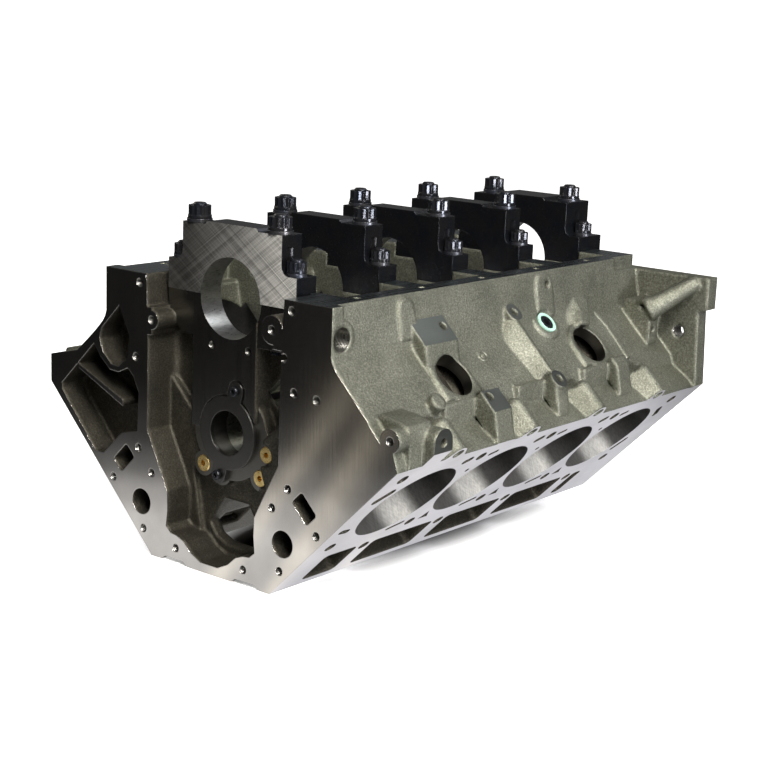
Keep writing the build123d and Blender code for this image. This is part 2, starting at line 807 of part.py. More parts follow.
def wall_holes(side):
    """The holes that are drilled into a bank's outer wall and the crankcase side."""
    shift = stagger(side)
    first = mount_first + shift
    outer_face = bank_outer + core_ring_proud
    skirt_x = rail_outer + (rail_height - skirt_hole_z) * skirt_slope + skirt_pad_proud
    with BuildPart() as hollow:
        core_holes = [(side * mid_centres(side)[i], -core_hole_depth) for i in (1, 3)]
        plugs = discs(wall_plane(side, bank_outer + 20), core_holes, core_hole_diameter / 2)
        extrude(plugs, amount=jacket_outer - bank_outer - 24)
        mounts = [(side * y, -w) for y in (first, first + mount_pitch) for w in (mount_upper, mount_lower)]
        extrude(discs(wall_plane(side, mount_plane), mounts, mount_hole / 2), amount=-18)
        side_plug_hole = [(side * (side_plug_y + shift), -side_plug_w)]
        seat = discs(wall_plane(side, outer_face), side_plug_hole, side_plug_boss - 4)
        extrude(seat, amount=12)
        tapped = discs(wall_plane(side, outer_face), side_plug_hole, side_plug_diameter / 2 + fit_gap)
        extrude(tapped, amount=side_seal_thickness - side_plug_length)
        ear_centre = (side * second_ear_face, second_ear_y + shift, second_ear_z)
        extrude(discs(Plane(origin=ear_centre, z_dir=(side, 0, 0)), [(0, 0)], 4.4), amount=-20)
        extrude(discs(port_plane(side), [(0, 0)], port_diameter / 2), amount=-22)
        skirt = Plane(origin=(side * skirt_x, skirt_hole_y + shift, skirt_hole_z), z_dir=(side, 0, 0))
        extrude(discs(skirt, [(0, 0)], skirt_hole_diameter / 2), amount=-10, both=True)
    return hollow.part


def front_holes():
    """Holes, ports and cast pockets in the timing face and in the bulkhead behind it."""
    with BuildPart() as hollow:
        for points in (upper_pocket, lower_pocket):
            extrude(outline(front_plane(0), points), amount=-pocket_depth)
        rib = [(-184, -85), (-181, -90), (-118, -117), (-118, -111)]
        extrude(outline(front_plane(0), rib), amount=-pocket_depth, mode=Mode.SUBTRACT)
        holes = [(s * x, z) for s in (1, -1) for x, z in face_holes] + face_holes_right + face_holes_left
        extrude(discs(front_plane(0), holes, face_hole_diameter / 2), amount=-face_hole_depth)
        extrude(discs(front_plane(front_cap_face - 2), strip_holes, strip_hole_diameter / 2), amount=-14)
        ports = [(water_port_x, water_port_z), (-water_port_x, water_port_z)]
        extrude(discs(front_plane(0), ports, water_port_diameter / 2), amount=-26)
        for side in (1, -1):
            x, z = bank_point(coolant_slot_v, coolant_slot_w)
            depth = bore_centres(side)[0] - jacket_end + 6
            with BuildSketch(front_plane(0)):
                with Locations(Location((side * x, z), side * 45)):
                    RectangleRounded(coolant_slot_width, coolant_slot_height, 3)
            extrude(amount=-depth)
        tapped = discs(front_plane(boss_face), plug_points, plug_diameter / 2 + fit_gap)
        extrude(tapped, amount=plug_proud - plug_length)
        tapped = discs(front_plane(boss_face), retainer_screw_points(), screw_diameter / 2 + fit_gap)
        extrude(tapped, amount=plate_thickness - screw_length)
        bell = [(bell_bolt_x, bell_bolt_z), (-bell_bolt_x, bell_bolt_z)]
        extrude(discs(front_plane(480), bell, bell_bolt_diameter / 2), amount=-50)
        for s in (1, -1):
            relief = [(s * 64, -256), (s * 58, -251.5), (s * 34, -251.5), (s * 28, -256)]
            extrude(outline(front_plane(-1), relief), amount=-front_flange - 60)
    return hollow.part


def block_casting():
    foot = bank_point(deck_inner, deck_height)
    with BuildPart() as casting:
        extrude(body_section(), amount=-block_length)
        for side in (1, -1):
            fall = [
                (side * rear_fall_start, bank_outer + 0.5),
                (side * flange_face, rear_fall_v),
                (side * flange_face, bank_outer + 30),
                (side * rear_fall_start, bank_outer + 30),
            ]
            top = (skirt_foot_x - skirt_foot_z) * half + 6
            extrude(outline(bank_plane(side, top), fall), amount=deck_height - top, mode=Mode.SUBTRACT)
        extrude(outline(front_plane(0), timing_face_outline()), amount=-front_flange)
        extrude(discs(front_plane(0), [(ear_x, ear_z)], ear_radius), amount=-front_flange)
        valley = mirrored([(foot[0], foot[1]), (0, deck_inner / half + 2)])
        extrude(outline(front_plane(0), valley), amount=-china_wall)
        flange = mirrored(
            [
                (flange_half_width, flange_top),
                (flange_half_width, flange_step_z),
                (flange_waist, flange_step_z - 3.5),
                bank_point(deck_outer, deck_height),
                foot,
            ]
        )
        extrude(outline(front_plane(flange_face), flange), amount=flange_face - block_length)
        add([bank_bosses(1), bank_bosses(-1), starter_strut()])
        tools = [trimmings(), timing_recess(), crankcase(), front_holes()]
        for side in (1, -1):
            tools += [water_jacket(side), deck_openings(side), wall_holes(side)]
        for tool in tools:
            add(tool, mode=Mode.SUBTRACT)
    return casting.part


def retainer_screw_points():
    dx = retainer_circle * sin(radians(retainer_turn))
    dz = retainer_circle * cos(radians(retainer_turn))
    return [(dx, dz - cam_drop), (-dx, -dz - cam_drop)]


def main_cap(y_centre, thickness, stud_y):
    with BuildPart() as cap:
        with BuildSketch(front_plane(y_centre - thickness / 2)):
            with BuildLine():
                Polyline(
                    *mirrored(
                        [
                            (cap_half_ear, 0),
                            (cap_half_ear, cap_ear_height),
                            (cap_half_top, cap_ear_height),
                            (cap_half_top, cap_top),
                            (cap_pad_half + 2.4, cap_top),
                            (cap_pad_half, cap_pad_height),
                        ]
                    ),
                    close=True,
                )
            make_face()
            sides = [v for v in vertices() if abs(abs(v.X) - cap_half_top) < 0.1]
            waists = [v for v in sides if v.Y < cap_ear_height + 1]
            fillet(waists, radius=cap_waist_radius)
            Circle(main_bore_diameter / 2, mode=Mode.SUBTRACT)
        extrude(amount=-thickness)
        inner = [(-stud_inner_x, stud_y), (stud_inner_x, stud_y)]
        outer = [(-stud_outer_x, stud_y), (stud_outer_x, stud_y)]
        inner_holes = discs(Plane.XY, inner, inner_stud_diameter / 2 + stud_clearance)
        extrude(inner_holes, amount=cap_pad_height + 1, mode=Mode.SUBTRACT)
        outer_holes = discs(Plane.XY, outer, outer_stud_diameter / 2 + stud_clearance)
        extrude(outer_holes, amount=cap_ear_height + 10, mode=Mode.SUBTRACT)
        spot = discs(Plane(origin=(0, 0, cap_ear_height)), outer, outer_washer_diameter / 2 + 0.6)
        extrude(spot, amount=24, mode=Mode.SUBTRACT)
    return cap.part


def twelve_point(plane, centres, height, flange, flange_diameter, corner, hole):
    """Twelve-point nuts with a round foot."""
    with BuildPart() as nuts:
        with BuildSketch(plane):
            with Locations(*centres):
                Circle(flange_diameter / 2)
                Circle(hole, mode=Mode.SUBTRACT)
        extrude(amount=flange)
        with BuildSketch(plane):
            with Locations(*centres):
                RegularPolygon(corner / 2, 6)
                RegularPolygon(corner / 2, 6, rotation=30)
                Circle(hole, mode=Mode.SUBTRACT)
        extrude(amount=height)
    return nuts.part


def rings(plane, centres, outer, inner, height):
    with BuildPart() as ring:
        with BuildSketch(plane):
            with Locations(*centres):
                Circle(outer)
                Circle(inner, mode=Mode.SUBTRACT)
        extrude(amount=height)
    return ring.part


def rods(plane, centres, radius, length, edge):
    with BuildPart() as rod:
        with BuildSketch(plane):
            with Locations(*centres):
                Circle(radius)
        extrude(amount=length)
        chamfer(rod.faces().filter_by(Axis.Z).edges(), edge)
    return rod.part


def cam_bearing(station):
    front = max(station - bearing_width / 2, boss_face + 1)
    radius = cam_bore_diameter / 2 - bearing_fit
    return rings(front_plane(front), [(0, -cam_drop)], radius, bearing_inner / 2, -bearing_width)


def plate_necks(width):
    """The two necks between the retainer's ring and its screw ears."""
    length = retainer_circle - plate_radius + 8
    middle = (retainer_circle - length / 2) / retainer_circle
    with BuildSketch(Plane.XY) as necks:
        for x, z in retainer_screw_points():
            with Locations(Location((x * middle, -cam_drop + (z + cam_drop) * middle), -retainer_turn)):
                Rectangle(width, length)
    return necks.sketch


def retainer_plate():
    with BuildPart() as plate:
        with BuildSketch(front_plane(boss_face - plate_thickness)):
            with Locations((0, -cam_drop)):
                Circle(plate_radius)
            with Locations(*retainer_screw_points()):
                Circle(plate_ear_radius)
            add(plate_necks(2 * plate_ear_radius))
            with Locations((0, -cam_drop)):
                Circle(plate_hole / 2, mode=Mode.SUBTRACT)
            with Locations(*retainer_screw_points()):
                Circle(screw_diameter / 2 + fit_gap, mode=Mode.SUBTRACT)
        extrude(amount=-plate_thickness)
    return plate.part


def socket_screws(plane, centres, head_radius, head_height, radius, length, key):
    """Round-headed socket screws whose heads stand on the plane."""
    with BuildPart() as screw:
        heads = discs(plane, centres, head_radius)
        extrude(heads, amount=head_height)
        top = Plane(origin=plane.origin + plane.z_dir * head_height, x_dir=plane.x_dir, z_dir=plane.z_dir)
        edges = screw.faces().filter_by(top).edges()
        fillet(edges, head_height * 0.35)
        extrude(discs(plane, centres, radius), amount=-length)
        with BuildSketch(top) as socket:
            with Locations(*centres):
                RegularPolygon(key / 2, 6, major_radius=False)
        extrude(socket.sketch, amount=-head_height * 0.7, mode=Mode.SUBTRACT)
    return screw.part


def socket_plugs(plane, centres, radius, length, key, edge):
    """Plain socket plugs whose faces lie in the plane."""
    with BuildPart() as plug:
        extrude(discs(plane, centres, radius), amount=-length)
        chamfer(plug.faces().filter_by(plane).edges(), edge)
        with BuildSketch(plane) as socket:
            with Locations(*centres):
                RegularPolygon(key / 2, 6, major_radius=False)
        extrude(socket.sketch, amount=-length * 0.5, mode=Mode.SUBTRACT)
    return plug.part


def save(part, name):
    part.label = name
    export_step(part, "parts/" + name + ".step")


inner_places = [(s * stud_inner_x, y) for y in stud_stations for s in (-1, 1)]
outer_places = [(s * stud_outer_x, y) for y in stud_stations for s in (-1, 1)]
inner_stud_top = cap_top + washer_thickness + nut_height + stud_tip
outer_stud_top = cap_ear_height + washer_thickness + outer_nut_height + stud_tip
inner_foot = Plane(origin=(0, 0, -inner_stud_depth))
outer_foot = Plane(origin=(0, 0, -outer_stud_depth))
inner_seat = Plane(origin=(0, 0, cap_top))
outer_seat = Plane(origin=(0, 0, cap_ear_height))
inner_nut_seat = Plane(origin=(0, 0, cap_top + washer_thickness))
outer_nut_seat = Plane(origin=(0, 0, cap_ear_height + washer_thickness))

save(block_casting(), "engine_block")

for number, centre in enumerate(cap_centres, start=1):
    thickness = rear_cap_thickness if number == main_count else bulkhead_thickness
    save(main_cap(centre, thickness, stud_stations[number - 1]), "main_cap_" + str(number))

inner_length = inner_stud_top + inner_stud_depth
outer_length = outer_stud_top + outer_stud_depth
inner_hole = inner_stud_diameter / 2 + fit_gap
outer_hole = outer_stud_diameter / 2 + fit_gap
save(rods(inner_foot, inner_places, inner_stud_diameter / 2, inner_length, 1.2), "inner_main_studs")
save(rods(outer_foot, outer_places, outer_stud_diameter / 2, outer_length, 1), "outer_main_studs")
washers = rings(inner_seat, inner_places, inner_washer_diameter / 2, inner_hole, washer_thickness)
save(washers, "inner_stud_washers")
washers = rings(outer_seat, outer_places, outer_washer_diameter / 2, outer_hole, washer_thickness)
save(washers, "outer_stud_washers")
foot = inner_washer_diameter - 1.6
nuts = twelve_point(inner_nut_seat, inner_places, nut_height, nut_flange, foot, nut_corner, inner_hole)
save(nuts, "inner_stud_nuts")
foot = outer_washer_diameter - 0.8
corner = outer_nut_corner
nuts = twelve_point(outer_nut_seat, outer_places, outer_nut_height, nut_flange, foot, corner, outer_hole)
save(nuts, "outer_stud_nuts")

for number, station in enumerate(bearing_stations, start=1):
    save(cam_bearing(station), "cam_bearing_" + str(number))

save(retainer_plate(), "cam_retainer_plate")
plate_front = front_plane(boss_face - plate_thickness)
screws = socket_screws(
    plate_front,
    retainer_screw_points(),
    screw_head_diameter / 2,
    screw_head_height,
    screw_diameter / 2,
    screw_length,
    4,
)
save(screws, "retainer_screws")
names = ["gallery_plug_left", "gallery_plug_upper", "gallery_plug_lower"]
plug_front = front_plane(boss_face - plug_proud)
for name, place in zip(names, plug_points):
    save(socket_plugs(plug_front, [place], plug_diameter / 2, plug_length, plug_key, 0.8), name)

plug_seat = bank_outer + core_ring_proud
place = [(side_plug_y, -side_plug_w)]
radii = (side_seal_diameter / 2, side_plug_diameter / 2)
save(rings(wall_plane(1, plug_seat), place, *radii, side_seal_thickness), "side_plug_seal")
top = wall_plane(1, plug_seat + side_seal_thickness)
save(socket_plugs(top, place, side_plug_diameter / 2, side_plug_length, 8, 0.8), "side_plug")
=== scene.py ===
import math

import bpy
from mathutils import Matrix, Vector


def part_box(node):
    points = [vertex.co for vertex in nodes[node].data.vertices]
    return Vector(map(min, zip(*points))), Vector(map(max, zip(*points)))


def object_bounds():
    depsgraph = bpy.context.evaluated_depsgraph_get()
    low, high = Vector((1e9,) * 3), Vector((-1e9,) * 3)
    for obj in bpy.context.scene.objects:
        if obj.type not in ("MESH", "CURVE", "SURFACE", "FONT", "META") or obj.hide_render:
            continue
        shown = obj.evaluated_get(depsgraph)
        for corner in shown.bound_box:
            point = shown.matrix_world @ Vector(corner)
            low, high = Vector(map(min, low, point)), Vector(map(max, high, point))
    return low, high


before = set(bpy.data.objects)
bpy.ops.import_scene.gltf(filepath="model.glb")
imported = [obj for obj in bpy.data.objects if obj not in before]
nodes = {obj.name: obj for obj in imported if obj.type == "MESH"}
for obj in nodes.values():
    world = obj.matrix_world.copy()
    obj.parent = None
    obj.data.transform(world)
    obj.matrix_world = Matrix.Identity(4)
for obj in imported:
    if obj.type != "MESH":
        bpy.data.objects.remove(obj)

# The V8 block in metres, in the frame of its CAD. The crank axis is the line x = 0, z = 0, the timing
# face is the plane y = 0 and faces -Y, and +X is the bank nearer to the camera.

cad_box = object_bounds()
floor_z = cad_box[0][2]
HALF = math.sqrt(0.5)

# Sizes of the CAD that the finishes follow
DECK = 0.2347
BORE_RADIUS = 0.0523875
BORE_FOOT = 0.082
FIRST_BORE = 0.0787
BORE_PITCH = 0.11176
BANK_STAGGER = 0.0241
CYLINDERS = 4
MAIN_RADIUS = 0.0373
CAM_RADIUS = 0.0269
CAM_DROP = 0.1248
RAIL_TOP = 0.01395
BLOCK_END = 0.5136
MOUNT_PLANE = 0.090
CORE_FLOOR = 0.0671
CORE_W = 0.1625
CORE_RADIUS = 0.0212
SHELF_W = 0.182
SHELF_WALL = 0.0575
JACKET_FOOT = 0.1
JACKET_FRONT = 0.02
FLANGE_FACE = 0.4955
FLANGE_HOLE = (0.193, 0.505, -0.059)
FLANGE_HOLE_RADIUS = 0.0068
FLANGE_HALF = 0.009
PORT = (0.130, 0.013, -0.015)
PORT_RADIUS = 0.0112
PORT_REACH = 0.012
EAR_FACE = 0.230
STRIP_FACE = 0.0219
SADDLE_FACE = 0.0234
BOSS_FACE = 0.0251
BOSS_REACH = 0.06
CAP_SEAT_HALF = 0.081
RECESS_HALF = 0.0875
RECESS_TOP = 0.01
FRONT_HOLLOW = 0.0395
BANK_OUTER = 0.0725

# Middles (x, z) of the timing face's tapped holes: one in each bank, then those that have no twin
PAIRED = (
    (0.09585, -0.1534),
    (0.13045, -0.1887),
    (0.0774, -0.1743),
    (0.088, -0.2309),
    (0.0437, -0.2404),
    (0.0952, 0.0046),
    (0.1, -0.0665),
)
SINGLE = (
    (0.0874, -0.0376),
    (0.1262, -0.0683),
    (0.2081, -0.0886),
    (0.0724, -0.0152),
    (-0.0794, -0.0286),
    (-0.022, -0.0456),
    (0.0236, -0.0448),
)
TAPPED = [(side * x, z) for x, z in PAIRED for side in (1, -1)] + list(SINGLE)
TAPPED_RADIUS = 0.0044
TAPPED_END = 0.028

# How near a face's middle must be to a plane or to a bore's wall to count as part of it
NEAR = 0.0003
NEAR_EDGE = 0.0006
NEAR_BORE = 0.0008
FACING = 0.99


# Camera, where the photograph was taken from

def add_camera():
    azimuth, elevation, roll = (math.radians(a) for a in (38.553, 12.598, 2.308))
    right = Vector((math.cos(azimuth), math.sin(azimuth), 0))
    back = Vector(
        (
            math.sin(azimuth) * math.cos(elevation),
            -math.cos(azimuth) * math.cos(elevation),
            math.sin(elevation),
        )
    )
    up = back.cross(right)
    turned_right = right * math.cos(roll) + up * math.sin(roll)
    turned_up = up * math.cos(roll) - right * math.sin(roll)
    place = Matrix((turned_right, turned_up, back)).transposed().to_4x4()
    place.translation = Vector((1.04877, -1.04616, 0.26124))
    data = bpy.data.cameras.new("camera")
    data.sensor_width = 36
    data.lens = 78.69
    data.shift_x = -0.0190
    data.shift_y = -0.0011
    data.clip_start = 0.05
    data.clip_end = 60
    camera = bpy.data.objects.new("camera", data)
    bpy.context.scene.collection.objects.link(camera)
    camera.matrix_world = place
    bpy.context.scene.camera = camera


# Node graph helpers

def new_material(name, **sockets):
    material = bpy.data.materials.new(name)
    material.use_nodes = True
    tree = material.node_tree
    shader = tree.nodes["Principled BSDF"]
    for key, value in sockets.items():
        shader.inputs[key.replace("_", " ")].default_value = value
    return material, tree, shader


def put(tree, kind, sockets, **settings):
    """Adds a node; a socket given as another node's output is linked, anything else is its value."""
    node = tree.nodes.new(kind)
    for key, value in settings.items():
        setattr(node, key, value)
    for key, value in sockets.items():
        if isinstance(value, bpy.types.NodeSocket):
            tree.links.new(value, node.inputs[key])
        else:
            node.inputs[key].default_value = value
    return node


def wire(tree, shader, **sockets):
    """Links outputs to the shader's sockets of the same names."""
    for key, output in sockets.items():
        tree.links.new(output, shader.inputs[key.replace("_", " ")])


def place_of(tree, scale=(1, 1, 1)):
    coordinates = tree.nodes.new("ShaderNodeTexCoord")
    sockets = {"Vector": coordinates.outputs["Object"], "Scale": scale}
    return put(tree, "ShaderNodeMapping", sockets).outputs["Vector"]


def turned(tree, scale, turn):
    """Object coordinates turned first and stretched afterwards, so that marks can run at any angle."""
    coordinates = tree.nodes.new("ShaderNodeTexCoord")
    sockets = {
        "Vector": coordinates.outputs["Object"],
        "Scale": [1 / s for s in scale],
        "Rotation": turn,
    }
    return put(tree, "ShaderNodeMapping", sockets, vector_type="TEXTURE").outputs["Vector"]


def noise(tree, where, scale, detail, roughness):
    sockets = {"Vector": where, "Scale": scale, "Detail": detail, "Roughness": roughness}
    return put(tree, "ShaderNodeTexNoise", sockets).outputs["Fac"]


def reckon(tree, operation, *values):
    return put(tree, "ShaderNodeMath", dict(enumerate(values)), operation=operation).outputs[0]


def axes(tree, where):
    apart = put(tree, "ShaderNodeSeparateXYZ", {"Vector": where})
    return [apart.outputs[key] for key in "XYZ"]


def length_of(tree, where):
    return put(tree, "ShaderNodeVectorMath", {0: where}, operation="LENGTH").outputs["Value"]


def share_of(tree, value, half):
    """Runs from 0 to 1 while value runs from -half to half."""
    sockets = {"Value": value, "From Min": -half, "From Max": half}
    return put(tree, "ShaderNodeMapRange", sockets).outputs["Result"]


def ramp(tree, value, stops, smooth=False):
    """Colour ramp over value; stops are (position, colour) with grey levels allowed."""
    node = put(tree, "ShaderNodeValToRGB", {"Fac": value})
    if smooth:
        node.color_ramp.interpolation = "EASE"
    elements = node.color_ramp.elements
    while len(elements) < len(stops):
        elements.new(0.5)
    for element, (position, colour) in zip(elements, stops):
        element.position = position
        if isinstance(colour, float):
            colour = (colour, colour, colour)
        element.color = (*colour, 1)
    return node.outputs["Color"]


def blend_colours(tree, first, second, mode):
    node = put(tree, "ShaderNodeMix", {"Factor": 1.0}, data_type="RGBA", blend_type=mode)
    for key, output in ((6, first), (7, second)):
        tree.links.new(output, node.inputs[key])
    return node.outputs[2]


def rounded_edges(tree, radius, samples):
    return put(tree, "ShaderNodeBevel", {"Radius": radius}, samples=samples).outputs["Normal"]


def bump(tree, height, distance, strength, normal=None):
    sockets = {"Height": height, "Distance": distance, "Strength": strength}
    if normal is not None:
        sockets["Normal"] = normal
    return put(tree, "ShaderNodeBump", sockets).outputs["Normal"]


# Finishes

def cast_iron(name, low, high):
    """Sand-cast skin: patchy grey-green, grainy, with all edges softened."""
    material, tree, shader = new_material(name, Metallic=0.92)
    where = place_of(tree)
    patches = noise(tree, where, 24, 4, 0.6)
    grain = noise(tree, where, 620, 3, 0.65)
    sand = noise(tree, where, 1500, 2, 0.7)
    colour = ramp(tree, patches, [(0.3, low), (0.7, high)])
    speck = ramp(tree, grain, [(0.3, 0.55), (0.52, 0.95), (0.72, 1.6)])
    coarse = bump(tree, grain, 0.0011, 0.55, rounded_edges(tree, 0.006, 8))
    wire(
        tree,
        shader,
        Base_Color=blend_colours(tree, colour, speck, "MULTIPLY"),
        Roughness=ramp(tree, sand, [(0.25, 0.42), (0.75, 0.68)]),
        Normal=bump(tree, sand, 0.0005, 0.5, coarse),
    )
    return material


def milled(name, colour, low, high, lines=(700, 700, 14), depth=0.000012, edge=0.0006):
    """A face that a cutter has passed over: long fine marks, slightly uneven gloss."""
    material, tree, shader = new_material(name, Metallic=1.0)
    streak = noise(tree, place_of(tree, lines), 1, 3, 0.6)
    stain = noise(tree, place_of(tree), 14, 3, 0.55)
    darker = tuple(c * 0.8 for c in colour)
    wire(
        tree,
        shader,
        Base_Color=ramp(tree, stain, [(0.35, darker), (0.65, colour)]),
        Roughness=ramp(tree, streak, [(0.3, low), (0.7, high)]),
        Normal=bump(tree, streak, depth, 0.6, rounded_edges(tree, edge, 4)),
    )
    return material


def bore_shade(tree, side, first):
    """Painted highlight band and painted shade round a cylinder's wall, by the place across the bore as the
    camera sees it.
    """
    part_along, part_outwards = 0.608, 0.794
    x, y, z = axes(tree, place_of(tree))
    outwards = reckon(tree, "ADD", reckon(tree, "MULTIPLY", x, side), z)
    outwards = reckon(tree, "MULTIPLY", outwards, HALF * part_outwards)
    from_first = reckon(tree, "SUBTRACT", y, first)
    along = reckon(tree, "WRAP", from_first, BORE_PITCH / 2, -BORE_PITCH / 2)
    across = reckon(tree, "ADD", reckon(tree, "MULTIPLY", along, part_along), outwards)
    stops = [(0.0, 0.12), (0.17, 0.2), (0.3, 1.0), (0.43, 1.0), (0.58, 0.14), (0.84, 0.06)]
    return ramp(tree, share_of(tree, across, BORE_RADIUS), stops, True)


def cap_shade(tree):
    """Painted reflection: dark at the far side of the front cap, bright at the near one."""
    share = share_of(tree, axes(tree, place_of(tree))[0], CAP_SEAT_HALF)
    return ramp(tree, share, [(0.15, 0.10), (0.55, 0.38), (0.9, 1.0)])


def cross_hatched(name, colour, low, high, pitch, turns, depth=0.00001, dark=0.75, metallic=1.0, shade=None):
    """Two crossing sets of fine marks, as a hone or a fly cutter leaves them. shade is a function of
    the node tree that gives the painted highlights and painted shade over the whole face."""
    material, tree, shader = new_material(name, Metallic=metallic)
    first, second = (noise(tree, turned(tree, (9, pitch, pitch), turn), 1, 2, 0.6) for turn in turns)
    marks = reckon(tree, "MULTIPLY", reckon(tree, "ADD", first, second), 0.5)
    darker = tuple(c * dark for c in colour)
    tone = ramp(tree, marks, [(0.4, darker), (0.6, colour)])
    # The shade function's painted highlights and painted shade are multiplied into the colour.
    if shade is not None:
        tone = blend_colours(tree, tone, shade(tree), "MULTIPLY")
    wire(
        tree,
        shader,
        Base_Color=tone,
        Roughness=ramp(tree, marks, [(0.35, low), (0.65, high)]),
        Normal=bump(tree, marks, depth, 0.6),
    )
    return material


def threaded(name, colour, pitch, direction):
    """The wall of a tapped hole: fine rings, with painted shade making it dark between their bright crests.
    """
    material, tree, shader = new_material(name, Metallic=1.0)
    sockets = {"Vector": place_of(tree), "Scale": pitch, "Distortion": 0.0}
    crest = put(tree, "ShaderNodeTexWave", sockets, bands_direction=direction).outputs["Fac"]
    grime = noise(tree, place_of(tree), 400, 2, 0.6)
    dark = tuple(c * 0.12 for c in colour)
    wire(
        tree,
        shader,
        Base_Color=ramp(tree, crest, [(0.15, dark), (0.7, colour)]),
        Roughness=ramp(tree, grime, [(0.3, 0.25), (0.7, 0.42)]),
        Normal=bump(tree, crest, 0.0004, 0.8),
    )
    return material


def black_oxide(name, level, low, high, edge=0.0009):
    """Blackened steel between a blue and a warm black."""
    material, tree, shader = new_material(name, Metallic=0.75)
    where = place_of(tree)
    blotch = noise(tree, where, 60, 3, 0.6)
    fine = noise(tree, where, 700, 2, 0.6)
    blue = tuple(level * c for c in (0.85, 0.95, 1.25))
    warm = tuple(level * c for c in (1.3, 1.25, 1.3))
    wire(
        tree,
        shader,
        Base_Color=ramp(tree, blotch, [(0.35, blue), (0.7, warm)]),
        Roughness=ramp(tree, fine, [(0.3, low), (0.7, high)]),
        Normal=bump(tree, fine, 0.0002, 0.3, rounded_edges(tree, edge, 4)),
    )
    return material


def brass():
    material, tree, shader = new_material("brass_turned", Metallic=1.0)
    where = place_of(tree)
    tone = noise(tree, where, 180, 3, 0.6)
    fine = noise(tree, where, 1800, 2, 0.6)
    wire(
        tree,
        shader,
        Base_Color=ramp(tree, tone, [(0.3, (0.52, 0.36, 0.13)), (0.7, (0.86, 0.66, 0.29))]),
        Roughness=ramp(tree, fine, [(0.3, 0.2), (0.7, 0.38)]),
        Normal=bump(tree, fine, 0.0001, 0.4),
    )
    return material


def seal_paint():
    material, tree, shader = new_material("seal_coating", Metallic=0.0)
    tone = noise(tree, place_of(tree), 500, 3, 0.6)
    wire(
        tree,
        shader,
        Base_Color=ramp(tree, tone, [(0.3, (0.24, 0.44, 0.35)), (0.7, (0.38, 0.60, 0.49))]),
        Roughness=ramp(tree, tone, [(0.3, 0.35), (0.7, 0.55)]),
        Normal=bump(tree, tone, 0.0002, 0.4),
    )
    return material


def floor_paint():
    """Pale paint that glows evenly white, with a painted shadow that darkens it beside and beneath the
    block.
    """
    half_width, half_length = 0.098, 0.26
    material, tree, shader = new_material(
        "pale_floor", Roughness=0.9, Emission_Strength=1.0, Specular_IOR_Level=0.0
    )
    reach = length_of(tree, place_of(tree, (1 / half_width, 1 / half_length, 0)))
    fifth = reckon(tree, "MULTIPLY", reach, 0.2)  # so that the ramps end at five times the oval
    tone = ramp(tree, noise(tree, place_of(tree), 3, 2, 0.5), [(0.2, 0.93), (0.8, 0.95)])
    # Painted shadow: the floor's colour and its glow are darkened beneath and beside the block.
    painted_shadow = ramp(tree, fifth, [(0.15, 0.01), (0.22, 1.0)])
    wire(
        tree,
        shader,
        Base_Color=blend_colours(tree, tone, painted_shadow, "MULTIPLY"),
        Emission_Color=ramp(tree, fifth, [(0.17, 0.0), (0.24, 0.55), (0.36, 0.92), (0.8, 0.95)]),
    )
    return material


def table_glow():
    """What the polished faces see of the table: bright close to the block, falling off to the dark
    room, with two slanting bands of light."""
    material = bpy.data.materials.new("table_light")
    material.use_nodes = True
    tree = material.node_tree
    tree.nodes.remove(tree.nodes["Principled BSDF"])
    where = place_of(tree)
    falloff = [(0.36, 0.95), (0.46, 0.6), (0.56, 0.22), (0.70, 0.06), (1.0, 0.015)]
    level = ramp(tree, length_of(tree, where), falloff, True)
    x, y, _ = axes(tree, where)
    slant = reckon(tree, "ADD", reckon(tree, "MULTIPLY", x, 0.85), reckon(tree, "MULTIPLY", y, -0.53))
    warm = (0.46, 0.42, 0.34)
    stops = [(0.125, 0.0), (0.146, warm), (0.168, 0.0), (0.188, 0.0), (0.205, warm), (0.24, 0.0)]
    level = blend_colours(tree, level, ramp(tree, slant, stops, True), "ADD")
    light = put(tree, "ShaderNodeEmission", {"Color": level, "Strength": 1.0})
    tree.links.new(light.outputs["Emission"], tree.nodes["Material Output"].inputs["Surface"])
    return material


# Which finish each face of the casting has, or whether it gets painted shade, read from the planes and bores
# of the CAD

def on_wall(first, second, radius):
    """Whether a face's middle lies on a bore's wall, given how far it is from the bore's axis."""
    return abs(math.hypot(first, second) - radius) < NEAR_BORE


def in_tapped_hole(x, y, z):
    if y > TAPPED_END:
        across, along, up = FLANGE_HOLE
        return abs(y - along) < FLANGE_HALF and math.hypot(abs(x) - across, z - up) < FLANGE_HOLE_RADIUS
    return any(math.hypot(x - at[0], z - at[1]) < TAPPED_RADIUS for at in TAPPED)


def in_port(x, y, z):
    return abs(abs(x) - PORT[0]) < PORT_REACH and math.hypot(y - PORT[1], z - PORT[2]) < PORT_RADIUS


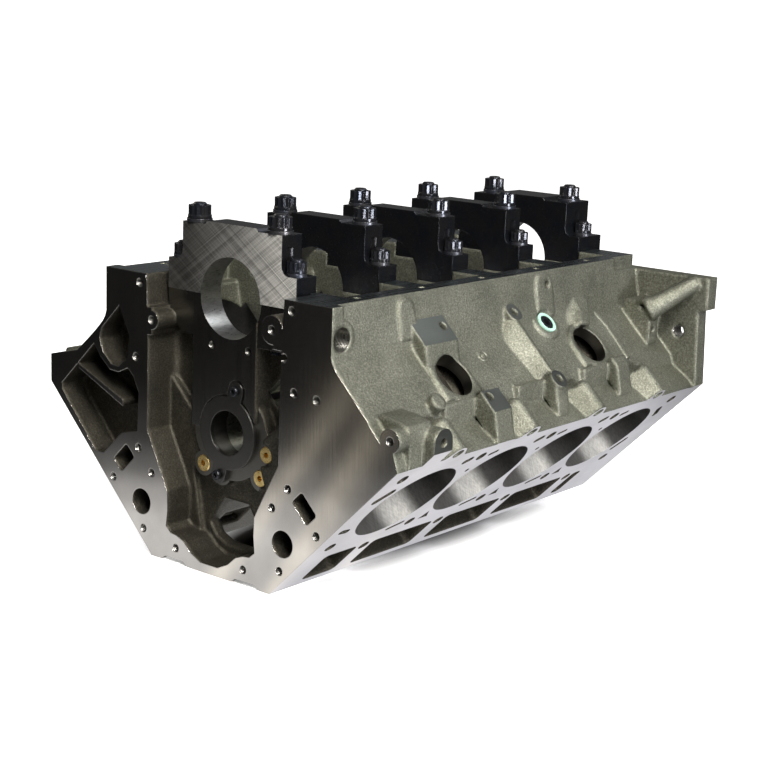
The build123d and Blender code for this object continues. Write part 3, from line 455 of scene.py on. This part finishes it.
def casting_finish(centre, normal):
    x, y, z = centre
    forward = normal.y < -FACING
    if (forward and y < NEAR) or (normal.y > FACING and y > BLOCK_END - NEAR):
        return "face"
    if normal.z > FACING and abs(z - RAIL_TOP) < NEAR:
        return "rail"
    if abs(x) < CAP_SEAT_HALF + NEAR_EDGE and abs(z) < NEAR_EDGE:
        return "rail"
    if abs(abs(x) - CAP_SEAT_HALF) < NEAR_EDGE and z > 0:
        return "rail"
    if forward and min(abs(y - STRIP_FACE), abs(y - SADDLE_FACE)) < NEAR:
        return "strip"
    if forward and abs(y - BOSS_FACE) < NEAR and math.hypot(x, z + CAM_DROP) < BOSS_REACH:
        return "boss"
    if abs(normal.y) < 0.2 and (on_wall(x, z, MAIN_RADIUS) or on_wall(x, z + CAM_DROP, CAM_RADIUS)):
        return "bore"
    if abs(normal.y) < 0.5 and in_tapped_hole(x, y, z):
        return "thread"
    if abs(normal.x) < 0.5 and in_port(x, y, z):
        return "port"

    side = 1 if x > 0 else -1
    v = (x * side + z) * HALF  # across the bank, outwards from the bore line
    w = (x * side - z) * HALF  # along the cylinders, from the crank axis
    outwards = (normal.x * side + normal.z) * HALF
    along = (normal.x * side - normal.z) * HALF
    first = FIRST_BORE + (0 if side > 0 else BANK_STAGGER)
    if along > FACING and abs(w - DECK) < NEAR:
        return "deck"
    # Faces inside the front recess and its side pockets get painted shade.
    if NEAR < y < FRONT_HOLLOW and z < RECESS_TOP and (abs(x) < RECESS_HALF or (v < BANK_OUTER and z < 0)):
        return "painted_shade"
    if outwards > FACING and abs(v - MOUNT_PLANE) < NEAR:
        return "pad"
    if side * normal.x > FACING and abs(abs(x) - EAR_FACE) < NEAR:
        return "pad"
    if BORE_FOOT - 0.002 < w < DECK + 0.001 and abs(along) < 0.2:
        if any(on_wall(v, y - first - BORE_PITCH * number, BORE_RADIUS) for number in range(CYLINDERS)):
            return "bore_right" if side > 0 else "bore_left"
    if v > CORE_FLOOR and abs(outwards) < 0.3:
        for number in (0.5, 2.5):
            if math.hypot(w - CORE_W, y - first - BORE_PITCH * number) < CORE_RADIUS:
                return "boss"
    # The hollows between the features of the bank wall get painted shade.
    wall = SHELF_WALL if w > SHELF_W else CORE_FLOOR
    if v < wall and JACKET_FOOT < w < DECK - 0.002 and JACKET_FRONT < y < FLANGE_FACE:
        return "painted_shade"
    return "cast"


def dress(node, materials, finish_of=None):
    """Gives a CAD node its materials; finish_of names one per face where there are several."""
    mesh = node.data
    mesh.materials.clear()
    names = list(materials)
    for name in names:
        mesh.materials.append(materials[name])
    for polygon in mesh.polygons:
        finish = finish_of(polygon.center, polygon.normal) if finish_of else names[0]
        polygon.material_index = names.index(finish)


def honed(name, side):
    lean = math.radians(45) * side
    cross = math.radians(35)
    first = FIRST_BORE + (0 if side > 0 else BANK_STAGGER)
    turns = ((0, lean, cross), (0, lean, -cross))
    # The bore walls get a painted highlight band and painted shade across them.
    return cross_hatched(
        name,
        (0.98, 0.96, 0.92),
        0.29,
        0.36,
        700,
        turns,
        metallic=0.5,
        shade=lambda tree: bore_shade(tree, side, first),
    )


def bored(name):
    turns = ((0, 0, 1.2), (0, 0, 1.9))
    return cross_hatched(name, (0.50, 0.50, 0.49), 0.27, 0.34, 600, turns, 0.000002)


def dress_casting():
    finishes = {
        "cast": cast_iron("cast_iron_raw", (0.146, 0.149, 0.119), (0.222, 0.223, 0.183)),
        # A darker copy of the raw casting: painted shade for the front recess, its pockets and the hollows
        # of the bank wall.
        "painted_shade": cast_iron("cast_iron_painted_shade", (0.050, 0.046, 0.037), (0.085, 0.078, 0.062)),
        "strip": milled("milled_bulkhead", (0.22, 0.215, 0.205), 0.2, 0.27),
        "boss": milled("milled_boss", (0.17, 0.165, 0.152), 0.28, 0.38),
        "thread": threaded("tapped_thread", (0.75, 0.73, 0.70), 230, "Y"),
        "port": threaded("port_thread", (0.40, 0.39, 0.36), 200, "X"),
        "face": milled("milled_timing_face", (0.60, 0.575, 0.545), 0.10, 0.15, edge=0.0011),
        "rail": milled("milled_rail", (0.28, 0.32, 0.335), 0.22, 0.34, (600, 20, 600)),
        "deck": milled("milled_deck", (0.57, 0.56, 0.60), 0.30, 0.40, (500, 22, 500)),
        "pad": milled("milled_pad", (0.140, 0.148, 0.136), 0.28, 0.42, (900, 60, 900), 0.00003),
        "bore": bored("bored_line"),
        "bore_right": honed("honed_right", 1),
        "bore_left": honed("honed_left", -1),
    }
    dress(nodes["engine_block"], finishes, casting_finish)


def dress_caps():
    turns = ((0, 0.62, 0), (0, -0.62, 0))
    finishes = {
        "black": black_oxide("cap_black", 0.016, 0.16, 0.28, edge=0.0016),
        # The front cap's milled face carries a painted reflection, dark at the far side, bright at the near
        # one.
        "milled": cross_hatched(
            "cap_milled", (0.95, 0.93, 0.89), 0.30, 0.46, 800, turns, 0.00008, 0.45, 0.6, cap_shade
        ),
        "bore": bored("cap_bore"),
    }
    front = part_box("main_cap_1")[0].y

    def cap_finish(centre, normal):
        if normal.y < -FACING and centre.y < front + NEAR:
            return "milled"
        if abs(normal.y) < 0.2 and on_wall(centre.x, centre.z, MAIN_RADIUS):
            return "bore"
        return "black"

    for name, node in nodes.items():
        if name.startswith("main_cap_"):
            dress(node, finishes, cap_finish)


def dress_small_pieces():
    stud = black_oxide("stud_black", 0.03, 0.22, 0.34)
    nut = black_oxide("nut_black", 0.032, 0.11, 0.19)
    washer = black_oxide("washer_black", 0.05, 0.24, 0.38)
    shell = milled("bearing_shell", (0.16, 0.155, 0.145), 0.3, 0.42, (900, 40, 900))
    plate = milled("retainer_ground", (0.115, 0.113, 0.108), 0.30, 0.40, (300, 300, 300), edge=0.0012)
    pieces = {
        "inner_main_studs": stud,
        "outer_main_studs": stud,
        "inner_stud_nuts": nut,
        "outer_stud_nuts": nut,
        "inner_stud_washers": washer,
        "outer_stud_washers": washer,
        "retainer_screws": nut,
        "side_plug": nut,
        "cam_retainer_plate": plate,
        "side_plug_seal": seal_paint(),
    }
    pieces.update({"cam_bearing_" + str(number): shell for number in range(1, 6)})
    pieces.update(dict.fromkeys(("gallery_plug_left", "gallery_plug_upper", "gallery_plug_lower"), brass()))
    for name, material in pieces.items():
        dress(nodes[name], {"only": material})


# Floor and light

def flat_panel(name, size, centre, material):
    reach = size / 2
    corners = [(-reach, -reach, 0), (reach, -reach, 0), (reach, reach, 0), (-reach, reach, 0)]
    mesh = bpy.data.meshes.new(name)
    mesh.from_pydata(corners, [], [(0, 1, 2, 3)])
    mesh.materials.append(material)
    panel = bpy.data.objects.new(name, mesh)
    bpy.context.scene.collection.objects.link(panel)
    panel.location = centre
    return panel


def softbox(name, place, target, width, height, power, colour):
    data = bpy.data.lights.new(name, "AREA")
    data.shape = "RECTANGLE"
    data.size = width
    data.size_y = height
    data.energy = power
    data.color = colour
    light = bpy.data.objects.new(name, data)
    bpy.context.scene.collection.objects.link(light)
    light.location = place
    towards = Vector(target) - Vector(place)
    light.rotation_euler = towards.to_track_quat("-Z", "Y").to_euler()


def cove(name, centre, radius, height, material):
    """A round floor whose rim curves up into a wall."""
    steps = 96
    bend = 1.5
    flat = radius - bend
    angles = (0.4, 0.8, 1.2, math.pi / 2)
    profile = [(flat, 0)]
    profile += [(flat + bend * math.sin(a), bend * (1 - math.cos(a))) for a in angles]
    profile.append((radius, height))
    points = [(0, 0, 0)]
    for reach, rise in profile:
        for step in range(steps):
            turn = 2 * math.pi * step / steps
            points.append((reach * math.cos(turn), reach * math.sin(turn), rise))
    faces = [(0, 1 + step, 1 + (step + 1) % steps) for step in range(steps)]
    for ring in range(len(profile) - 1):
        for step in range(steps):
            near = 1 + ring * steps
            after = (step + 1) % steps
            faces.append((near + step, near + steps + step, near + steps + after, near + after))
    mesh = bpy.data.meshes.new(name)
    mesh.from_pydata(points, [], faces)
    mesh.materials.append(material)
    room = bpy.data.objects.new(name, mesh)
    bpy.context.scene.collection.objects.link(room)
    room.location = centre
    return room


def add_studio():
    middle = [(low + high) / 2 for low, high in zip(cad_box[0], cad_box[1])]
    room = cove("floor", (middle[0], middle[1], floor_z), 9, 5, floor_paint())
    room.visible_glossy = False
    room.visible_diffuse = False
    room.visible_shadow = False
    # The camera sees the floor and polished faces see the table, which lies a hair above it
    table = flat_panel("table", 16, (middle[0], middle[1], floor_z + 0.0002), table_glow())
    table.visible_camera = False
    table.visible_diffuse = False
    table.visible_shadow = False
    aim = (0.05, 0.2, -0.08)
    softbox("key", (1.35, -0.95, 1.75), aim, 0.8, 0.8, 112, (1.0, 0.975, 0.92))
    softbox("front", (1.75, -1.05, 0.75), aim, 0.5, 0.6, 22, (1.0, 0.97, 0.92))
    softbox("back", (1.1, 2.0, 2.4), aim, 1.8, 1.2, 18, (0.95, 0.98, 1.0))
    softbox("left", (-2.4, 0.3, 0.9), aim, 0.5, 1.4, 12, (1.0, 0.93, 0.80))
    softbox("right", (2.1, 0.1, -0.02), aim, 0.6, 0.4, 36, (0.97, 0.98, 1.0))
    world = bpy.data.worlds.new("room")
    world.use_nodes = True
    background = world.node_tree.nodes["Background"]
    background.inputs["Color"].default_value = (1.0, 1.0, 1.0, 1)
    background.inputs["Strength"].default_value = 0.10
    bpy.context.scene.world = world
    bpy.context.scene.view_settings.view_transform = "Standard"


add_camera()
dress_casting()
dress_caps()
dress_small_pieces()
add_studio()
